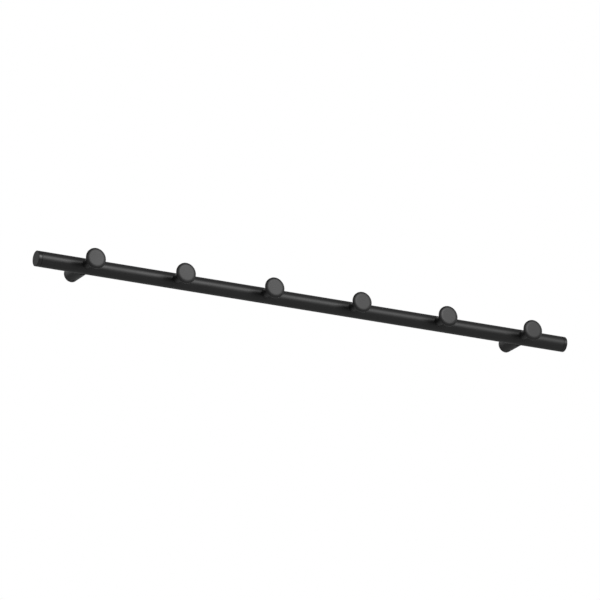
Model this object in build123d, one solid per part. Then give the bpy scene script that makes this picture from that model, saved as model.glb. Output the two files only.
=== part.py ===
from build123d import *
import os
from math import sqrt

# Hook rail for a wall: a round capped tube on two posts, with a row of mushroom knobs along its front.
#
# Frame: X runs along the rail, +Y points into the wall and +Z points up. The origin lies on the wall,
# midway between the two posts, at the height of the rail's axis. Millimetres throughout.
#
# Each knob is coped to the tube. The knobs between the posts are held by countersunk screws that seat
# inside the tube's front wall and are reached through holes in its back. At each post one longer screw
# goes from inside the post through the tube into the end knob and clamps all three. Each post slips over
# the spigot of a plate that is screwed to the wall, and a grub screw from below holds it there.

# Rail tube, which runs past the end knobs by the overhang
TUBE_DIAMETER = 16.0
TUBE_WALL = 1.5
TUBE_OVERHANG = 49.0
SEAM_CHAMFER = 0.3

# Row of knobs: the reach is from the tube's front to the flat face of the head. The face is crowned at
# its edge, on a quarter of an ellipse that meets both the face and the rim smoothly.
HOOK_COUNT = 6
HOOK_PITCH = 100.0
KNOB_REACH = 22.0
HEAD_DIAMETER = 21.5
HEAD_CROWN_WIDTH = 3.75
HEAD_CROWN_DEPTH = 2.0
HEAD_RIM = 0.9
HEAD_BACK_ROUND = 0.6
NECK_DIAMETER = 9.5
NECK_ROOT_ROUND = 1.0
FACE_WALL = 5.0

# End caps
CAP_LIP = 4.0
CAP_EDGE_ROUND = 0.5
CAP_SPIGOT_LENGTH = 10.0
CAP_SPIGOT_WALL = 1.6
CAP_LEAD_IN = 0.6
CAP_RIB_COUNT = 6
CAP_RIB_WIDTH = 1.2
CAP_RIB_HEIGHT = 0.15

# Wall posts and plates: the web is the solid length of a post between its bore and the tube
POST_WALL = 2.5
POST_WEB = 6.0
POST_WRAP = 4.0
PLATE_THICKNESS = 3.0
PLATE_SPIGOT_LENGTH = 6.0
PLATE_SPIGOT_RIM = 1.15
WALL_HOLE_DIAMETER = 4.5

# M5 screws into the knobs: countersunk between the posts, cap heads inside them
SCREW_DIAMETER = 5.0
SCREW_TIP_CHAMFER = 0.6
TAPPED_RUN_OUT = 1.5
SUNK_HEAD_DIAMETER = 9.2
SUNK_HEAD_BITE = 0.3
SUNK_HEAD_HEX = 3.0
CAP_HEAD_DIAMETER = 8.5
CAP_HEAD_HEIGHT = 5.0
CAP_HEAD_HEX = 4.0

# M3 grub screws under the posts, with a cone point in a groove of the plate's spigot
GRUB_DIAMETER = 3.0
GRUB_POINT_FLAT = 1.0
GRUB_HEX = 1.5
GRUB_RECESS = 0.3
GROOVE_DEPTH = 0.6

# Clearances, on radius where two pieces fit round each other
THREAD_CLEARANCE = 0.05
SCREW_CLEARANCE = 0.2
SLIDE_CLEARANCE = 0.1
RIB_CLEARANCE = 0.05
ACCESS_CLEARANCE = 0.4
CAP_HEAD_CLEARANCE = 1.25
CAP_HEAD_GAP = 2.0

# How deep a drive socket is, for each millimetre of its width, and how far cutters overshoot a face
SOCKET_DEPTH_RATIO = 0.6
OVERSHOOT = 1.0

# Radii
tube_radius = TUBE_DIAMETER / 2
bore_radius = tube_radius - TUBE_WALL
screw_radius = SCREW_DIAMETER / 2
screw_hole = screw_radius + SCREW_CLEARANCE
tapped_radius = screw_radius + THREAD_CLEARANCE
sunk_radius = SUNK_HEAD_DIAMETER / 2
access_radius = sunk_radius + ACCESS_CLEARANCE
cap_head_radius = CAP_HEAD_DIAMETER / 2
post_bore = cap_head_radius + CAP_HEAD_CLEARANCE
post_radius = post_bore + POST_WALL
spigot_radius = post_bore - SLIDE_CLEARANCE
groove_radius = spigot_radius - GROOVE_DEPTH
grub_radius = GRUB_DIAMETER / 2

# Stations along Y, from the wall at 0 to the faces of the knobs
plate_front = -PLATE_THICKNESS
spigot_front = plate_front - PLATE_SPIGOT_LENGTH
grub_station = plate_front - PLATE_SPIGOT_LENGTH / 2
cap_head_top = spigot_front - CAP_HEAD_GAP
post_seat = cap_head_top - CAP_HEAD_HEIGHT
tube_back = post_seat - POST_WEB
post_front = tube_back - POST_WRAP
axis_station = tube_back - tube_radius
tube_front = axis_station - tube_radius
knob_face = tube_front - KNOB_REACH
tapped_point = knob_face + FACE_WALL
tapped_end = tapped_point + tapped_radius
screw_tip = tapped_end + TAPPED_RUN_OUT

# A countersunk head lies where its rim bites a little below the tube's curved inner wall
sunk_rim = axis_station - sqrt(bore_radius**2 - sunk_radius**2) - SUNK_HEAD_BITE

# Places along X
half_row = (HOOK_COUNT - 1) * HOOK_PITCH / 2
tube_end = half_row + TUBE_OVERHANG
hook_places = [number * HOOK_PITCH - half_row for number in range(HOOK_COUNT)]
middle_places = hook_places[1:-1]
post_places = [hook_places[0], hook_places[-1]]


def turned(*outline):
    """A solid turned about the Y axis from an outline of (radius, station) points."""
    return revolve(make_face(Polyline(*outline, close=True)), Axis.Y)


def near(section, x, y):
    """The corner of a flat section that is nearest to a point."""
    return section.vertices().sort_by_distance((x, y, 0))[0]


def bar_along_rail(radius):
    """A round bar on the rail's axis, as long as the tube."""
    return Pos(0, axis_station, 0) * Cylinder(radius, 2 * tube_end, rotation=(0, 90, 0))


def hex_socket(width, station):
    """A hexagonal cutter that sinks from a station towards -Y."""
    top = Plane(origin=(0, station, 0), x_dir=(1, 0, 0), z_dir=(0, -1, 0))
    hexagon = RegularPolygon(width / 2, 6, major_radius=False)
    return extrude(top * hexagon, width * SOCKET_DEPTH_RATIO)


def make_tube():
    """Round tube with chamfered ends, drilled for the screws of the posts and the knobs."""
    outline = Polyline(
        (-tube_end, bore_radius),
        (-tube_end, tube_radius - SEAM_CHAMFER),
        (-tube_end + SEAM_CHAMFER, tube_radius),
        (tube_end - SEAM_CHAMFER, tube_radius),
        (tube_end, tube_radius - SEAM_CHAMFER),
        (tube_end, bore_radius),
        close=True,
    )
    tube = Pos(0, axis_station, 0) * revolve(make_face(outline), Axis.X)
    back = tube_back + OVERSHOOT
    front = tube_front - OVERSHOOT
    plain_drill = turned((0, back), (screw_hole, back), (screw_hole, front), (0, front))
    step_drill = turned(
        (0, back),
        (access_radius, back),
        (access_radius, sunk_rim + access_radius - sunk_radius),
        (screw_hole, sunk_rim + screw_hole - sunk_radius),
        (screw_hole, front),
        (0, front),
    )
    for x in post_places:
        tube -= Pos(x, 0, 0) * plain_drill
    for x in middle_places:
        tube -= Pos(x, 0, 0) * step_drill
    return tube


def make_cap():
    """Moulded cap of the right end: a lip as wide as the tube, on a hollow spigot with ribs."""
    face = tube_end + CAP_LIP
    tip = tube_end - CAP_SPIGOT_LENGTH
    rib_radius = bore_radius - RIB_CLEARANCE
    spigot = rib_radius - CAP_RIB_HEIGHT
    inside = spigot - CAP_SPIGOT_WALL
    section = make_face(
        Polyline(
            (face, 0),
            (face, tube_radius),
            (tube_end + SEAM_CHAMFER, tube_radius),
            (tube_end, tube_radius - SEAM_CHAMFER),
            (tube_end, spigot),
            (tip + CAP_LEAD_IN, spigot),
            (tip, spigot - CAP_LEAD_IN),
            (tip, inside),
            (tube_end, inside),
            (tube_end, 0),
            close=True,
        )
    )
    cap = revolve(fillet(near(section, face, tube_radius), CAP_EDGE_ROUND), Axis.X)
    rib_length = CAP_SPIGOT_LENGTH - CAP_LEAD_IN
    rib_block = Pos(tube_end, 0, inside + CAP_SPIGOT_WALL / 2) * Box(
        rib_length, CAP_RIB_WIDTH, CAP_SPIGOT_WALL, align=(Align.MAX, Align.CENTER, Align.MIN)
    )
    rib = rib_block & Cylinder(rib_radius, 2 * (tube_end + CAP_LIP), rotation=(0, 90, 0))
    for number in range(CAP_RIB_COUNT):
        cap += Rot(360 * number / CAP_RIB_COUNT, 0, 0) * rib
    return Pos(0, axis_station, 0) * cap


def make_knob():
    """Turned knob: a crowned head on a straight neck, coped to the tube and tapped from there."""
    head_radius = HEAD_DIAMETER / 2
    neck_radius = NECK_DIAMETER / 2
    face_radius = head_radius - HEAD_CROWN_WIDTH
    rim_front = knob_face + HEAD_CROWN_DEPTH
    head_back = rim_front + HEAD_RIM + HEAD_BACK_ROUND
    sides = Polyline(
        (head_radius, rim_front),
        (head_radius, head_back),
        (neck_radius, head_back),
        (neck_radius, axis_station),
        (0, axis_station),
        (0, knob_face),
        (face_radius, knob_face),
    )
    crown = EllipticalCenterArc(
        (face_radius, rim_front), HEAD_CROWN_WIDTH, HEAD_CROWN_DEPTH, start_angle=270, arc_size=90
    )
    section = make_face(sides + crown)
    section = fillet(near(section, head_radius, head_back), HEAD_BACK_ROUND)
    section = fillet(near(section, neck_radius, head_back), NECK_ROOT_ROUND)
    tapped_hole = turned(
        (0, axis_station),
        (tapped_radius, axis_station),
        (tapped_radius, tapped_end),
        (0, tapped_point),
    )
    return revolve(section, Axis.Y) - bar_along_rail(tube_radius) - tapped_hole


def make_post():
    """Wall post: coped to the tube in front, bored from behind and tapped from below."""
    post = turned(
        (screw_hole, post_front),
        (post_radius, post_front),
        (post_radius, plate_front - SEAM_CHAMFER),
        (post_radius - SEAM_CHAMFER, plate_front),
        (post_bore, plate_front),
        (post_bore, post_seat),
        (screw_hole, post_seat),
    )
    grub_hole = Pos(0, grub_station, -post_radius) * Cylinder(grub_radius + THREAD_CLEARANCE, post_radius)
    return post - bar_along_rail(tube_radius) - grub_hole


def make_plate():
    """Wall plate: a disc with a grooved spigot for the post and a countersunk hole for a wall screw."""
    hole = WALL_HOLE_DIAMETER / 2
    sink = spigot_radius - PLATE_SPIGOT_RIM
    flat = GRUB_POINT_FLAT / 2
    mouth = flat + GROOVE_DEPTH
    return turned(
        (hole, 0),
        (post_radius, 0),
        (post_radius, plate_front + SEAM_CHAMFER),
        (post_radius - SEAM_CHAMFER, plate_front),
        (spigot_radius, plate_front),
        (spigot_radius, grub_station + mouth),
        (groove_radius, grub_station + flat),
        (groove_radius, grub_station - flat),
        (spigot_radius, grub_station - mouth),
        (spigot_radius, spigot_front),
        (sink, spigot_front),
        (hole, spigot_front + sink - hole),
    )


def make_knob_screw():
    """Countersunk screw that holds a knob from inside the tube."""
    screw = turned(
        (0, sunk_rim),
        (sunk_radius, sunk_rim),
        (screw_radius, sunk_rim + screw_radius - sunk_radius),
        (screw_radius, screw_tip + SCREW_TIP_CHAMFER),
        (screw_radius - SCREW_TIP_CHAMFER, screw_tip),
        (0, screw_tip),
    )
    return screw - hex_socket(SUNK_HEAD_HEX, sunk_rim)


def make_post_screw():
    """Cap screw that clamps a post, the tube and an end knob together."""
    screw = turned(
        (0, cap_head_top),
        (cap_head_radius, cap_head_top),
        (cap_head_radius, post_seat),
        (screw_radius, post_seat),
        (screw_radius, screw_tip + SCREW_TIP_CHAMFER),
        (screw_radius - SCREW_TIP_CHAMFER, screw_tip),
        (0, screw_tip),
    )
    return screw - hex_socket(CAP_HEAD_HEX, cap_head_top)


def make_grub_screw():
    """Grub screw: turned about Y with its cone point at 0, then stood up under the plate's spigot."""
    flat = GRUB_POINT_FLAT / 2
    length = post_radius - GRUB_RECESS - groove_radius
    screw = turned(
        (0, 0),
        (flat, 0),
        (grub_radius, grub_radius - flat),
        (grub_radius, length),
        (0, length),
    )
    screw -= hex_socket(GRUB_HEX, length)
    return Pos(0, grub_station, -groove_radius) * Rot(-90, 0, 0) * screw


def row_of(piece, places):
    """Copies of one piece at places along the rail."""
    return [Pos(x, 0, 0) * piece for x in places]


def save(name, *pieces):
    """Writes one node: a single solid, or a group of separate ones."""
    solids = [solid for piece in pieces for solid in piece.solids()]
    node = solids[0] if len(solids) == 1 else Compound(solids)
    export_step(node, f"parts/{name}.step")


os.makedirs("parts", exist_ok=True)

right_cap = make_cap()
save("rail_tube", make_tube())
save("end_cap_left", mirror(right_cap, Plane.YZ))
save("end_cap_right", right_cap)

for number, knob in enumerate(row_of(make_knob(), hook_places), start=1):
    save(f"knob_{number}", knob)

posts = row_of(make_post(), post_places)
plates = row_of(make_plate(), post_places)
for side, post, plate in zip(("left", "right"), posts, plates):
    save(f"wall_post_{side}", post)
    save(f"wall_plate_{side}", plate)

save("knob_screws", *row_of(make_knob_screw(), middle_places))
save("post_screws", *row_of(make_post_screw(), post_places))
save("grub_screws", *row_of(make_grub_screw(), post_places))
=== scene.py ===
# %% [markdown]
# # A black hook rail
#
# This lesson dresses a wall-mounted hook rail: a round tube on two short posts, with a row of mushroom
# knobs along its front. The construction is already there, as a frame of solids at their real size. We
# only add what Blender is good at: the finish of every surface, the threads of the screws, the light and
# the camera. Everything is in metres, with X along the rail, +Y into the wall and +Z up.

# %% Load the frame
import math

import bmesh
import bpy
from mathutils import Matrix, Vector


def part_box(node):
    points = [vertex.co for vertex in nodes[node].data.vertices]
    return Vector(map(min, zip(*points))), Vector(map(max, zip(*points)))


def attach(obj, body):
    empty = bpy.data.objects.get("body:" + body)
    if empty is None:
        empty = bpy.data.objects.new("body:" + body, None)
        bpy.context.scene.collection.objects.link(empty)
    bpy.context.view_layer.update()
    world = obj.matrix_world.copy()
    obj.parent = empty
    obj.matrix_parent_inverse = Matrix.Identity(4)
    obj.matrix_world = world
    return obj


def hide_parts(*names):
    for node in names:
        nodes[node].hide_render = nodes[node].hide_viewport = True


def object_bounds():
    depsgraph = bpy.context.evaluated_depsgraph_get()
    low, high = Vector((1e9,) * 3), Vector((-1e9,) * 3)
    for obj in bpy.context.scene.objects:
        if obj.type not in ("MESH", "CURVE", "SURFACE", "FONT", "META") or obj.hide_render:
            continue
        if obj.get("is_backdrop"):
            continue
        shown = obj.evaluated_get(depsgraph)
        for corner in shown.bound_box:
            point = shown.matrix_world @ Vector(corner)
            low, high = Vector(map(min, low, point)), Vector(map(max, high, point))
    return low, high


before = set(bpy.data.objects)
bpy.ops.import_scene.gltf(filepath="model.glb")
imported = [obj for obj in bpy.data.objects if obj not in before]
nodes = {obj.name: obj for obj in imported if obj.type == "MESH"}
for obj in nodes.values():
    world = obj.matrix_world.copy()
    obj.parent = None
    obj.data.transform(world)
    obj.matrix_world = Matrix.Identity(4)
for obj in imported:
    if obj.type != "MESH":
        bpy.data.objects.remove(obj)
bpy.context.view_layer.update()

MM = 0.001

# %% [markdown]
# ## The camera
#
# A camera and a lamp are both put somewhere around the rail and turned to look at it. Three small helpers
# do that for both: one gives the way to a place from two angles, one adds an object to the scene, and one
# turns it.

# %% Helpers for things around the rail
tube_low, tube_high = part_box("rail_tube")
rail_centre = (tube_low + tube_high) / 2


def way_to(azimuth, elevation):
    """Direction from the rail to a place; azimuth 0 is straight in front of it and 90 to its right."""
    side = math.radians(azimuth)
    rise = math.radians(elevation)
    return Vector((math.sin(side) * math.cos(rise), -math.cos(side) * math.cos(rise), math.sin(rise)))


def add_object(name, data):
    """A new object in the scene."""
    thing = bpy.data.objects.new(name, data)
    bpy.context.scene.collection.objects.link(thing)
    return thing


def aim(thing, look):
    """Turns a camera or a lamp to look along a direction, upright."""
    thing.rotation_mode = "QUATERNION"
    thing.rotation_quaternion = look.to_track_quat("-Z", "Y")


print("middle of the tube in mm", [round(value / MM, 1) for value in rail_centre])

# %% [markdown]
# The rail was seen from below and from the left through a long lens, so its far end is hardly smaller
# than the near one. The angles, the distance and the lens were fitted to the rail's outline. We aim along
# those angles and then slide the camera sideways until the middle of the tube lands on its own pixel.
# That keeps the lens shift at zero, so views from other sides stay centred too. The Standard view
# transform shows the white background as plain white.

# %% Camera at the photograph's angle
PICTURE_SIZE = 600
RAIL_CENTRE_PIXEL = (305.95, 302.47)
VIEW_AZIMUTH = -27.58
VIEW_ELEVATION = -18.24
VIEW_DISTANCE = 5.650
LENS = 333.2
SENSOR = 36.0
FAR_CLIP = 200

camera = add_object("camera", bpy.data.cameras.new("camera"))
camera.data.lens = LENS
camera.data.sensor_width = SENSOR
camera.data.clip_end = FAR_CLIP
look = -way_to(VIEW_AZIMUTH, VIEW_ELEVATION)
aim(camera, look)

pixel_step = SENSOR / LENS / PICTURE_SIZE
slide_right = (RAIL_CENTRE_PIXEL[0] - PICTURE_SIZE / 2) * pixel_step
slide_down = (RAIL_CENTRE_PIXEL[1] - PICTURE_SIZE / 2) * pixel_step
sight = look + camera.rotation_quaternion @ Vector((slide_right, -slide_down, 0))
camera.location = rail_centre - VIEW_DISTANCE * sight
bpy.context.scene.camera = camera
bpy.context.scene.view_settings.view_transform = "Standard"
print("camera at", [round(value, 3) for value in camera.location])

# %% [markdown]
# ## The studio
#
# A satin black object is drawn by what it mirrors, so the studio is as much a part of its look as the
# coat is. It starts as an empty world. Its shader tree, like all others here, is built with a few helpers
# that add a node and feed its inputs.

# %% An empty world, and helpers for shader trees
def feed(tree, socket, value):
    """Sets an input to a plain value, or links it to a socket."""
    if isinstance(value, bpy.types.NodeSocket):
        tree.links.new(value, socket)
    else:
        socket.default_value = value


def add_node(tree, kind, **inputs):
    """A new node with some of its inputs fed by name."""
    node = tree.nodes.new(kind)
    for name, value in inputs.items():
        feed(tree, node.inputs[name.replace("_", " ")], value)
    return node


def add_math(tree, operation, first, second=0.0):
    """The result of a Math node; each operand is a number or a socket."""
    node = tree.nodes.new("ShaderNodeMath")
    node.operation = operation
    for socket, value in zip(node.inputs, (first, second)):
        feed(tree, socket, value)
    return node.outputs["Value"]


def remap(tree, value, span, limits):
    """Goes from the first limit to the second while a value crosses its span."""
    node = add_node(tree, "ShaderNodeMapRange", Value=value, From_Min=span[0], From_Max=span[1])
    feed(tree, node.inputs["To Min"], limits[0])
    feed(tree, node.inputs["To Max"], limits[1])
    return node.outputs["Result"]


world = bpy.data.worlds.new("studio")
world.use_nodes = True
world.node_tree.nodes.clear()
bpy.context.scene.world = world
print("world", world.name, "with", len(world.node_tree.nodes), "nodes")

# %% [markdown]
# The room has white walls and a dim ceiling: the walls are the white background, and the ceiling keeps
# the upper side of the tube dark. Those levels are what the camera, mirrors and glass see. The light that
# falls on the object from the room is one plain, lower level.

# %% Walls and ceiling
WALL_LEVEL = 1.0
CEILING_LEVEL = 0.25
WALL_TOP = math.sin(math.radians(26))
CEILING_EDGE = math.sin(math.radians(50))
AMBIENT = 0.38

tree = world.node_tree
direction = add_node(tree, "ShaderNodeTexCoord").outputs["Generated"]
height = add_node(tree, "ShaderNodeSeparateXYZ", Vector=direction).outputs["Z"]
room = remap(tree, height, (WALL_TOP, CEILING_EDGE), (WALL_LEVEL, CEILING_LEVEL))
ray = add_node(tree, "ShaderNodeLightPath").outputs
mirrored = add_math(tree, "MAXIMUM", ray["Is Glossy Ray"], ray["Is Transmission Ray"])
seen = add_math(tree, "MAXIMUM", ray["Is Camera Ray"], mirrored)
level = add_node(tree, "ShaderNodeMix", Factor=seen, A=AMBIENT, B=room)
background = add_node(tree, "ShaderNodeBackground", Color=(1, 1, 1, 1), Strength=level.outputs["Result"])
add_node(tree, "ShaderNodeOutputWorld", Surface=background.outputs["Background"])
print("walls", WALL_LEVEL, "ceiling", CEILING_LEVEL, "light from the room", AMBIENT)

# %% [markdown]
# Two soft panels do the rest. The main one stands in front of the rail, a little to the right and above
# it: the flat faces of the knobs and a band along the tube mirror it. A weaker one stands below it, level
# with the rail, and softens the lower edge of that band. A panel's energy follows from its size and from
# its radiance, the brightness that it has when it is looked at, which is what a mirrored panel shows.

# %% Softboxes
PANEL_DISTANCE = 3.0


def softbox(name, azimuth, elevation, width, height, radiance):
    """A soft panel that faces the rail."""
    data = bpy.data.lights.new(name, "AREA")
    data.shape = "RECTANGLE"
    data.size = width
    data.size_y = height
    data.energy = radiance * math.pi * width * height
    panel = add_object(name, data)
    way = way_to(azimuth, elevation)
    panel.location = rail_centre + way * PANEL_DISTANCE
    aim(panel, -way)
    print(name, "energy", round(data.energy, 1), "W")


softbox("main_panel", azimuth=16, elevation=23, width=1.7, height=1.3, radiance=10.5)
softbox("low_panel", azimuth=14, elevation=1, width=1.0, height=1.3, radiance=2.6)

# %% [markdown]
# The floor is a plain pale sheet, well below the rail because the rail hangs on a wall. Seen from below
# it would hide the rail, so its underside is left clear.

# %% Floor
FLOOR_DROP = 2.0
FLOOR_SIZE = 60.0
FLOOR_COLOUR = (0.9, 0.9, 0.9, 1)


def add_mesh(name, bm, material):
    """A new object from a finished bmesh."""
    mesh = bpy.data.meshes.new(name)
    bm.to_mesh(mesh)
    bm.free()
    mesh.materials.append(material)
    return add_object(name, mesh)


floor_paint = bpy.data.materials.new("floor_paint")
floor_paint.use_nodes = True
tree = floor_paint.node_tree
tree.nodes.clear()
matt = add_node(tree, "ShaderNodeBsdfDiffuse", Color=FLOOR_COLOUR)
clear = add_node(tree, "ShaderNodeBsdfTransparent")
underside = add_node(tree, "ShaderNodeNewGeometry").outputs["Backfacing"]
mix = add_node(tree, "ShaderNodeMixShader", Fac=underside)
feed(tree, mix.inputs[1], matt.outputs["BSDF"])
feed(tree, mix.inputs[2], clear.outputs["BSDF"])
add_node(tree, "ShaderNodeOutputMaterial", Surface=mix.outputs["Shader"])

bm = bmesh.new()
bmesh.ops.create_grid(bm, x_segments=1, y_segments=1, size=FLOOR_SIZE / 2)
bmesh.ops.translate(bm, verts=bm.verts, vec=(0, 0, -FLOOR_DROP))
floor = add_mesh("floor", bm, floor_paint)
floor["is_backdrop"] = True
print("floor", FLOOR_DROP, "m below the rail")

# %% [markdown]
# ## Grain of a baked or moulded skin
#
# Powder coat is sprayed on as dry dust and melts in an oven. It sets with a fine grain, a slow ripple
# that painters call orange peel, and faint clouds where the dust lay a little thicker. Moulded plastic
# has the same three scales, with other sizes, because its steel mould was spark-eroded. Both finishes can
# share one node group, built once. Its sizes are in millimetres and its depths in micrometres, so that
# each finish can be set as a maker would measure it.

# %% Helpers for node groups
NOISE_MEAN = 0.5


def new_group(name, inputs, outputs):
    """A shader node group with number sockets; returns its tree, its input sockets and its output node."""
    tree = bpy.data.node_groups.new(name, "ShaderNodeTree")
    for label, value in inputs.items():
        socket = tree.interface.new_socket(label, in_out="INPUT", socket_type="NodeSocketFloat")
        socket.default_value = value
    for label in outputs:
        tree.interface.new_socket(label, in_out="OUTPUT", socket_type="NodeSocketFloat")
    given = tree.nodes.new("NodeGroupInput").outputs
    result = tree.nodes.new("NodeGroupOutput")
    return tree, given, result


def noise_of_size(tree, place, size, detail):
    """Noise between 0 and 1 whose features are a socket's number of millimetres across."""
    scale = add_math(tree, "DIVIDE", 1 / MM, size)
    return add_node(tree, "ShaderNodeTexNoise", Vector=place, Scale=scale, Detail=detail).outputs["Fac"]


def relief(tree, noise, depth):
    """Noise turned into a height about zero, as deep as a socket says."""
    centred = add_math(tree, "SUBTRACT", noise, NOISE_MEAN)
    return add_math(tree, "MULTIPLY", centred, depth)


print("noise lies about", NOISE_MEAN)

# %% Skin grain group
COAT_GRAIN = {
    "Grain Size": 0.35,
    "Ripple Size": 2.2,
    "Cloud Size": 45.0,
    "Grain Depth": 3.0,
    "Ripple Depth": 9.0,
}


def make_skin_grain():
    """Grain, ripple and clouds of a skin, with the height of its relief in micrometres."""
    tree, given, result = new_group("skin_grain", COAT_GRAIN, ("Height", "Grain", "Cloud"))
    place = add_node(tree, "ShaderNodeTexCoord").outputs["Object"]
    grain = noise_of_size(tree, place, given["Grain Size"], detail=1.0)
    ripple = noise_of_size(tree, place, given["Ripple Size"], detail=0.0)
    cloud = noise_of_size(tree, place, given["Cloud Size"], detail=2.0)
    fine = relief(tree, grain, given["Grain Depth"])
    slow = relief(tree, ripple, given["Ripple Depth"])
    feed(tree, result.inputs["Height"], add_math(tree, "ADD", fine, slow))
    feed(tree, result.inputs["Grain"], grain)
    feed(tree, result.inputs["Cloud"], cloud)
    return tree


skin_grain = make_skin_grain()
print("group", skin_grain.name, "with", len(skin_grain.nodes), "nodes")

# %% [markdown]
# ## Black coat and cap plastic
#
# A group only says where the marks are. A finish lets them drive its shader: the colour goes a little way
# from one shade to another, the roughness drifts between two limits, and the height becomes a bump. These
# three steps are the same for paint, plastic and steel, so each is a helper.

# %% Helpers for finishes
MICRON = 1e-6
NOISE_SPAN = (0.3, 0.7)


def new_finish(name, group, sizes):
    """A new material with a shared group in its tree; returns it and the group's output sockets."""
    material = bpy.data.materials.new(name)
    material.use_nodes = True
    marks = material.node_tree.nodes.new("ShaderNodeGroup")
    marks.node_tree = group
    for label, value in sizes.items():
        marks.inputs[label].default_value = value
    return material, marks.outputs


def feed_shader(material, label, value):
    """Feeds an input of a material's Principled shader."""
    shader = material.node_tree.nodes["Principled BSDF"]
    feed(material.node_tree, shader.inputs[label], value)


def drift_colour(material, mask, span, shades):
    """Lets the colour go from one shade to the other while a mask crosses its span."""
    ramp = add_node(material.node_tree, "ShaderNodeValToRGB", Fac=mask)
    for element, position, shade in zip(ramp.color_ramp.elements, span, shades):
        element.position = position
        element.color = (*shade, 1)
    feed_shader(material, "Base Color", ramp.outputs["Color"])


def drift_roughness(material, noise, limits):
    """Lets the roughness follow a noise between two limits."""
    feed_shader(material, "Roughness", remap(material.node_tree, noise, NOISE_SPAN, limits))


def add_bump(material, height):
    """A bump from a height in micrometres."""
    bump = add_node(material.node_tree, "ShaderNodeBump", Strength=1.0, Distance=MICRON, Height=height)
    feed_shader(material, "Normal", bump.outputs["Normal"])


print("most noise lies within", NOISE_SPAN)

# %% [markdown]
# The coat and the plastic are both a black skin. Its colour drifts with the clouds and the grain, and its
# sheen with the clouds alone. One function builds the shader, and each finish hands in its own sizes. A
# satin coat scatters much of its gloss, so its specular level is under the usual half. The moulded caps
# are a touch smoother than the coat, so they carry a sharper light.

# %% Black skins
PLASTIC_GRAIN = {
    "Grain Size": 0.18,
    "Ripple Size": 3.0,
    "Cloud Size": 20.0,
    "Grain Depth": 2.0,
    "Ripple Depth": 3.0,
}
CLOUDED_GRAIN_SPAN = (0.1, 0.4)
SKIN_SPECULAR = 0.29


def black_skin(name, shades, sheen, sizes):
    """A skin whose colour and roughness drift between two shades and two limits of its sheen."""
    material, marks = new_finish(name, skin_grain, sizes)
    feed_shader(material, "Specular IOR Level", SKIN_SPECULAR)
    clouded_grain = add_math(material.node_tree, "MULTIPLY", marks["Cloud"], marks["Grain"])
    drift_colour(material, clouded_grain, CLOUDED_GRAIN_SPAN, shades)
    drift_roughness(material, marks["Cloud"], sheen)
    add_bump(material, marks["Height"])
    return material


black_coat = black_skin(
    "black_coat",
    shades=((0.0060, 0.0060, 0.0062), (0.0080, 0.0080, 0.0081)),
    sheen=(0.42, 0.48),
    sizes=COAT_GRAIN,
)
cap_plastic = black_skin(
    "moulded_plastic",
    shades=((0.0062, 0.0062, 0.0062), (0.0076, 0.0076, 0.0076)),
    sheen=(0.31, 0.35),
    sizes=PLASTIC_GRAIN,
)
print("skins", black_coat.name, cap_plastic.name)

# %% [markdown]
# The flat face of a moulded cap is usually spark-eroded coarser than its edge, so that it doesn't show
# marks. We leave the edge as it is and make the face rougher: a face is where the surface looks along X.

# %% Coarser end faces
FACE_ROUGHNESS = 0.57
FACE_SPAN = (0.6, 0.95)

tree = cap_plastic.node_tree
edge_sheen = tree.nodes["Principled BSDF"].inputs["Roughness"].links[0].from_socket
facing = add_node(tree, "ShaderNodeTexCoord").outputs["Normal"]
along_rail = add_node(tree, "ShaderNodeSeparateXYZ", Vector=facing).outputs["X"]
flatness = remap(tree, add_math(tree, "ABSOLUTE", along_rail), FACE_SPAN, (0, 1))
sheen = add_node(tree, "ShaderNodeMix", Factor=flatness, A=edge_sheen, B=FACE_ROUGHNESS)
feed_shader(cap_plastic, "Roughness", sheen.outputs["Result"])
print("roughness of the end faces", FACE_ROUGHNESS)

# %% [markdown]
# Every solid has one material slot. The two caps get the plastic and all others the coat. The plain
# solids of the screws get it too, but they are replaced further on.

# %% Finishes of the solids
for name, node in nodes.items():
    if name.startswith("end_cap"):
        node.material_slots[0].material = cap_plastic
    else:
        node.material_slots[0].material = black_coat
print("finished", len(nodes), "nodes")

# %% [markdown]
# ## Plated and blackened steel
#
# The screws are steel. Those inside are zinc plated, and the little grub screws that show under the posts
# are blackened to match the coat. Turning leaves fine lines on steel, and its plating clouds a little.
# That is a second shared group: lines at a pitch in millimetres, and clouds. Most of the screws lie along
# Y, so the lines are noise that is fine along Y and drawn out along the other two axes.

# %% Steel finish group
ZINC_MARKS = {"Line Pitch": 0.12, "Cloud Size": 3.0, "Line Depth": 1.5}
LINE_STRETCH = (0.06, 1.0, 0.06)


def make_steel_marks():
    """Fine lines and clouds of a metal surface, with the height of its lines in micrometres."""
    tree, given, result = new_group("steel_marks", ZINC_MARKS, ("Height", "Line", "Cloud"))
    place = add_node(tree, "ShaderNodeTexCoord").outputs["Object"]
    drawn_out = add_node(tree, "ShaderNodeMapping", Vector=place, Scale=LINE_STRETCH).outputs["Vector"]
    line = noise_of_size(tree, drawn_out, given["Line Pitch"], detail=2.0)
    cloud = noise_of_size(tree, place, given["Cloud Size"], detail=2.0)
    feed(tree, result.inputs["Height"], relief(tree, line, given["Line Depth"]))
    feed(tree, result.inputs["Line"], line)
    feed(tree, result.inputs["Cloud"], cloud)
    return tree


steel_marks = make_steel_marks()
print("group", steel_marks.name, "with", len(steel_marks.nodes), "nodes")

# %% Steels
BLACKENED_MARKS = {"Line Pitch": 0.08, "Cloud Size": 1.5, "Line Depth": 1.0}


def marked_steel(name, shades, polish, metallic, sizes):
    """A metal whose colour drifts with its clouds, and whose roughness follows its lines."""
    material, marks = new_finish(name, steel_marks, sizes)
    feed_shader(material, "Metallic", metallic)
    drift_colour(material, marks["Cloud"], NOISE_SPAN, shades)
    drift_roughness(material, marks["Line"], polish)
    add_bump(material, marks["Height"])
    return material


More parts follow.
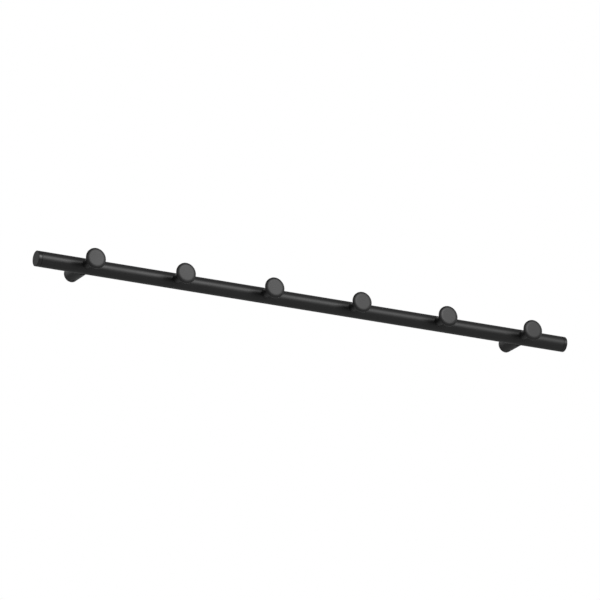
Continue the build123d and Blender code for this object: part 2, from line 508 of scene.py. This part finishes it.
zinc_steel = marked_steel(
    "zinc_steel",
    shades=((0.47, 0.49, 0.52), (0.60, 0.61, 0.61)),
    polish=(0.24, 0.38),
    metallic=1.0,
    sizes=ZINC_MARKS,
)
black_steel = marked_steel(
    "blackened_steel",
    shades=((0.014, 0.014, 0.016), (0.026, 0.026, 0.027)),
    polish=(0.34, 0.46),
    metallic=0.6,
    sizes=BLACKENED_MARKS,
)
print("steels", zinc_steel.name, black_steel.name)

# %% [markdown]
# ## Screws
#
# The solids of the screws are plain cylinders, because a thread is too fine for them. Here each screw is
# modelled again with its thread, inside the same space. Heads and tips are turned from an outline, as on
# a lathe. A screw is built standing on its tip, with its axis on Z.

# %% Turning an outline
AROUND = 36
ON_AXIS = Vector((0, 0, 1))
WELD = 1e-7


def lay_outline(bm, outline):
    """The vertices and edges of an outline of (radius, height) points."""
    verts = [bm.verts.new((radius, 0, height)) for radius, height in outline]
    edges = [bm.edges.new(pair) for pair in zip(verts, verts[1:])]
    return verts + edges


def turn_outline(bm, outline):
    """Turns an outline about the axis."""
    bmesh.ops.spin(
        bm, geom=lay_outline(bm, outline), cent=(0, 0, 0), axis=ON_AXIS, dvec=(0, 0, 0),
        angle=math.tau, steps=AROUND, use_merge=True, use_duplicate=False,
    )


print("turned in", AROUND, "steps")

# %% [markdown]
# A thread is one tooth swept round and up at once, which the spin operator does when it also gets a small
# step along the axis. One tooth is exactly a pitch wide, so each turn joins the one before. A cut thread
# doesn't start at full depth: its tooth grows over part of a turn. We find how many turns each vertex is
# along the helix and scale its tooth by that. The two open ends are then levelled into plain rings, where
# the turned tip and head join on.

# %% Winding a thread
THREAD_DEPTH = 0.5413
TOOTH_RISES = (0, 1 / 4, 9 / 16, 11 / 16, 1)
RUN_IN_TURNS = 0.4
TURN_SLACK = 1e-4


def root_radius(radius, pitch):
    """Radius at the foot of a metric thread, whose depth is a share of its pitch."""
    return radius - THREAD_DEPTH * pitch


def sweep_tooth(bm, tooth, pitch, turns):
    """Sweeps a tooth of (radius, height) points up a helix; returns the vertices of its strip."""
    before = set(bm.verts)
    bmesh.ops.spin(
        bm, geom=lay_outline(bm, tooth), cent=(0, 0, 0), axis=ON_AXIS, dvec=ON_AXIS * pitch / AROUND,
        angle=math.tau * turns, steps=turns * AROUND, use_merge=False, use_duplicate=False,
    )
    bmesh.ops.remove_doubles(bm, verts=[vert for vert in bm.verts if vert not in before], dist=WELD)
    return [vert for vert in bm.verts if vert not in before]


def wind_thread(bm, radius, pitch, low, high):
    """A metric thread in whole turns down from its high end; returns the height of its low end."""
    root = root_radius(radius, pitch)
    turns = int((high - low) / pitch) - 1
    low = high - (turns + 1) * pitch
    reaches = (root, root, radius, radius, root)
    tooth = [(reach, low + rise * pitch) for reach, rise in zip(reaches, TOOTH_RISES)]
    strip = sweep_tooth(bm, tooth, pitch, turns)
    for vert in strip:
        reach = vert.co.xy.length
        part_turn = (math.atan2(vert.co.y, vert.co.x) / math.tau) % 1
        whole_turns = math.floor((vert.co.z - low) / pitch - part_turn + TURN_SLACK)
        along = part_turn + whole_turns
        growth = min(max(min(along, turns - along) / RUN_IN_TURNS, 0), 1)
        vert.co.xy *= (root + (reach - root) * growth) / reach
    for vert in strip:
        if vert.is_boundary:
            vert.co.z = low if vert.co.z < (low + high) / 2 else high
    return low


print("foot of an M5 thread", round(root_radius(2.5, 0.8), 3), "mm")

# %% [markdown]
# The key sockets are hexagons. A socket is first turned round, through the corners of its hexagon, and
# then its wall is moved in onto the flats. Its floor keeps the shallow cone that the drill left.

# %% Sockets
SOCKET_DEPTH = 0.6
DRILL_SLOPE = 3
SIXTH_TURN = math.tau / 6


def socket_corner(width):
    """Radius through the corners of a hexagon of some width across its flats."""
    return width / 2 / math.cos(SIXTH_TURN / 2)


def socket_outline(width, top):
    """Outline of a socket from its rim down to the middle of its floor."""
    corner = socket_corner(width)
    bottom = top - width * SOCKET_DEPTH
    return [(corner, top), (corner, bottom), (0, bottom - corner / DRILL_SLOPE)]


def cut_hexagon(bm, width):
    """Moves the round wall of a socket onto the flats of its hexagon."""
    corner = socket_corner(width)
    for vert in bm.verts:
        if abs(vert.co.xy.length - corner) < WELD:
            angle = math.atan2(vert.co.y, vert.co.x) % SIXTH_TURN
            vert.co.xy *= width / 2 / math.cos(angle - SIXTH_TURN / 2) / corner


print("corner of a 3 mm socket", round(socket_corner(3), 3), "mm")

# %% [markdown]
# The lengths of a screw are welded into one closed shell. The finished screw is laid the way that it sits
# in the rail and copied along the rail to each of its places.

# %% Rows of screws
SHARP_ANGLE = math.radians(35)


def weld(bm):
    """Joins the lengths of a screw into one closed shell and marks its sharp edges."""
    bmesh.ops.remove_doubles(bm, verts=bm.verts, dist=WELD)
    bmesh.ops.dissolve_degenerate(bm, dist=WELD, edges=bm.edges)
    bmesh.ops.recalc_face_normals(bm, faces=bm.faces)
    for face in bm.faces:
        face.smooth = True
    for edge in bm.edges:
        edge.smooth = edge.calc_face_angle(0) < SHARP_ANGLE


def repeat_along_rail(bm, places):
    """Moves a screw to the first place and copies it to the others."""
    shape = bm.verts[:] + bm.edges[:] + bm.faces[:]
    for x in places[1:]:
        copied = bmesh.ops.duplicate(bm, geom=shape)["geom"]
        verts = [item for item in copied if isinstance(item, bmesh.types.BMVert)]
        bmesh.ops.translate(bm, verts=verts, vec=(x, 0, 0))
    first = [item for item in shape if isinstance(item, bmesh.types.BMVert)]
    bmesh.ops.translate(bm, verts=first, vec=(places[0], 0, 0))


def lay_row(bm, turned, tip, places):
    """Welds a screw, turns it as it sits, puts its tip in place and repeats it along the rail."""
    weld(bm)
    bmesh.ops.rotate(bm, cent=(0, 0, 0), matrix=turned, verts=bm.verts)
    bmesh.ops.translate(bm, verts=bm.verts, vec=tip)
    repeat_along_rail(bm, places)


def centre_of(node):
    """Middle of a node's box."""
    node_low, node_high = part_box(node)
    return (node_low + node_high) / 2


middle_places = [centre_of(f"knob_{number}").x for number in range(2, 6)]
post_places = [centre_of(f"wall_post_{side}").x for side in ("left", "right")]
print("knob screws at", [round(x / MM) for x in middle_places])
print("post screws at", [round(x / MM) for x in post_places])

# %% [markdown]
# A row is made as one piece, hung under the root body, and takes the place of its plain node, which is
# hidden. The M5 screws share their thread and their flat tip.

# %% Pieces, and the shank of an M5 screw
M5_RADIUS = 2.5 * MM
M5_PITCH = 0.8 * MM
M5_ROOT = root_radius(M5_RADIUS, M5_PITCH)
TIP_FLAT = 1.7 * MM
TIP_HEIGHT = 0.3 * MM


def screw_piece(bm, name, node, finish):
    """The finished row of screws, in place of its plain node."""
    open_edges = sum(not edge.is_manifold for edge in bm.edges)
    print(name, "faces", len(bm.faces), "open edges", open_edges)
    piece = add_mesh(name, bm, finish)
    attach(piece, "root")
    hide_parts(node)


def m5_shank(bm, top):
    """An M5 thread up to some height, with its tip."""
    foot = wind_thread(bm, M5_RADIUS, M5_PITCH, TIP_HEIGHT, top)
    turn_outline(bm, [(0, 0), (TIP_FLAT, 0), (M5_ROOT, foot)])


print("tip of an M5 screw", round(2 * TIP_FLAT / MM, 2), "mm across")

# %% [markdown]
# The countersunk screws sit inside the tube and pull the middle knobs against it. They are threaded right
# up to their heads. Their tip, head and places all come from the boxes of the solids.

# %% Countersunk knob screws
SUNK_SOCKET = 3.0 * MM
RUN_OUT = 0.25 * MM
STAND_TO_WALL = Matrix.Rotation(-math.pi / 2, 3, "X")

low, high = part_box("knob_screws")
length = high.y - low.y
head = (high.z - low.z) / 2
cone_foot = length - (head - M5_RADIUS)

bm = bmesh.new()
m5_shank(bm, cone_foot - RUN_OUT)
turn_outline(bm, [
    (M5_ROOT, cone_foot - RUN_OUT),
    (M5_RADIUS, cone_foot),
    (head, length),
    *socket_outline(SUNK_SOCKET, length),
])
cut_hexagon(bm, SUNK_SOCKET)
lay_row(bm, STAND_TO_WALL, (0, low.y, 0), middle_places)
screw_piece(bm, "threaded_knob_screws", "knob_screws", zinc_steel)

# %% [markdown]
# The two long cap screws go through the posts and the tube into the end knobs. Only their last part is
# threaded, as on a screw of this length, and their heads have a small chamfer.

# %% Long post screws
CAP_SOCKET = 4.0 * MM
CAP_HEIGHT = 5.0 * MM
CAP_CHAMFER = 0.5 * MM
THREADED_LENGTH = 22.0 * MM

low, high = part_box("post_screws")
length = high.y - low.y
head = (high.z - low.z) / 2
seat = length - CAP_HEIGHT

bm = bmesh.new()
m5_shank(bm, THREADED_LENGTH)
turn_outline(bm, [
    (M5_ROOT, THREADED_LENGTH),
    (M5_RADIUS, THREADED_LENGTH + RUN_OUT),
    (M5_RADIUS, seat),
    (head, seat),
    (head, length - CAP_CHAMFER),
    (head - CAP_CHAMFER, length),
    *socket_outline(CAP_SOCKET, length),
])
cut_hexagon(bm, CAP_SOCKET)
lay_row(bm, STAND_TO_WALL, (0, low.y, 0), post_places)
screw_piece(bm, "threaded_post_screws", "post_screws", zinc_steel)

# %% [markdown]
# A tiny grub screw under each post bites into the groove of its wall plate with a cone point. Its point is
# up, so it is turned over.

# %% Grub screws
M3_RADIUS = 1.5 * MM
M3_PITCH = 0.5 * MM
M3_ROOT = root_radius(M3_RADIUS, M3_PITCH)
GRUB_SOCKET = 1.5 * MM
POINT_FLAT = 0.5 * MM
GRUB_RIM = 1.15 * MM
TURN_OVER = Matrix.Rotation(math.pi, 3, "X")

low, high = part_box("grub_screws")
length = high.z - low.z
cone_top = M3_ROOT - POINT_FLAT
thread_top = length - (M3_ROOT - GRUB_RIM)

bm = bmesh.new()
foot = wind_thread(bm, M3_RADIUS, M3_PITCH, cone_top, thread_top)
turn_outline(bm, [(0, 0), (POINT_FLAT, 0), (M3_ROOT, cone_top), (M3_ROOT, foot)])
turn_outline(bm, [(M3_ROOT, thread_top), (GRUB_RIM, length), *socket_outline(GRUB_SOCKET, length)])
cut_hexagon(bm, GRUB_SOCKET)
lay_row(bm, TURN_OVER, (0, (low.y + high.y) / 2, high.z), post_places)
screw_piece(bm, "threaded_grub_screws", "grub_screws", black_steel)

# %% [markdown]
# ## Size and finish
#
# Dressing the rail must not change its size. We print the box of the dressed rail in millimetres.

# %% Size of the finished piece
low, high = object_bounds()
print("dressed box in mm", [round(side / MM, 1) for side in high - low])
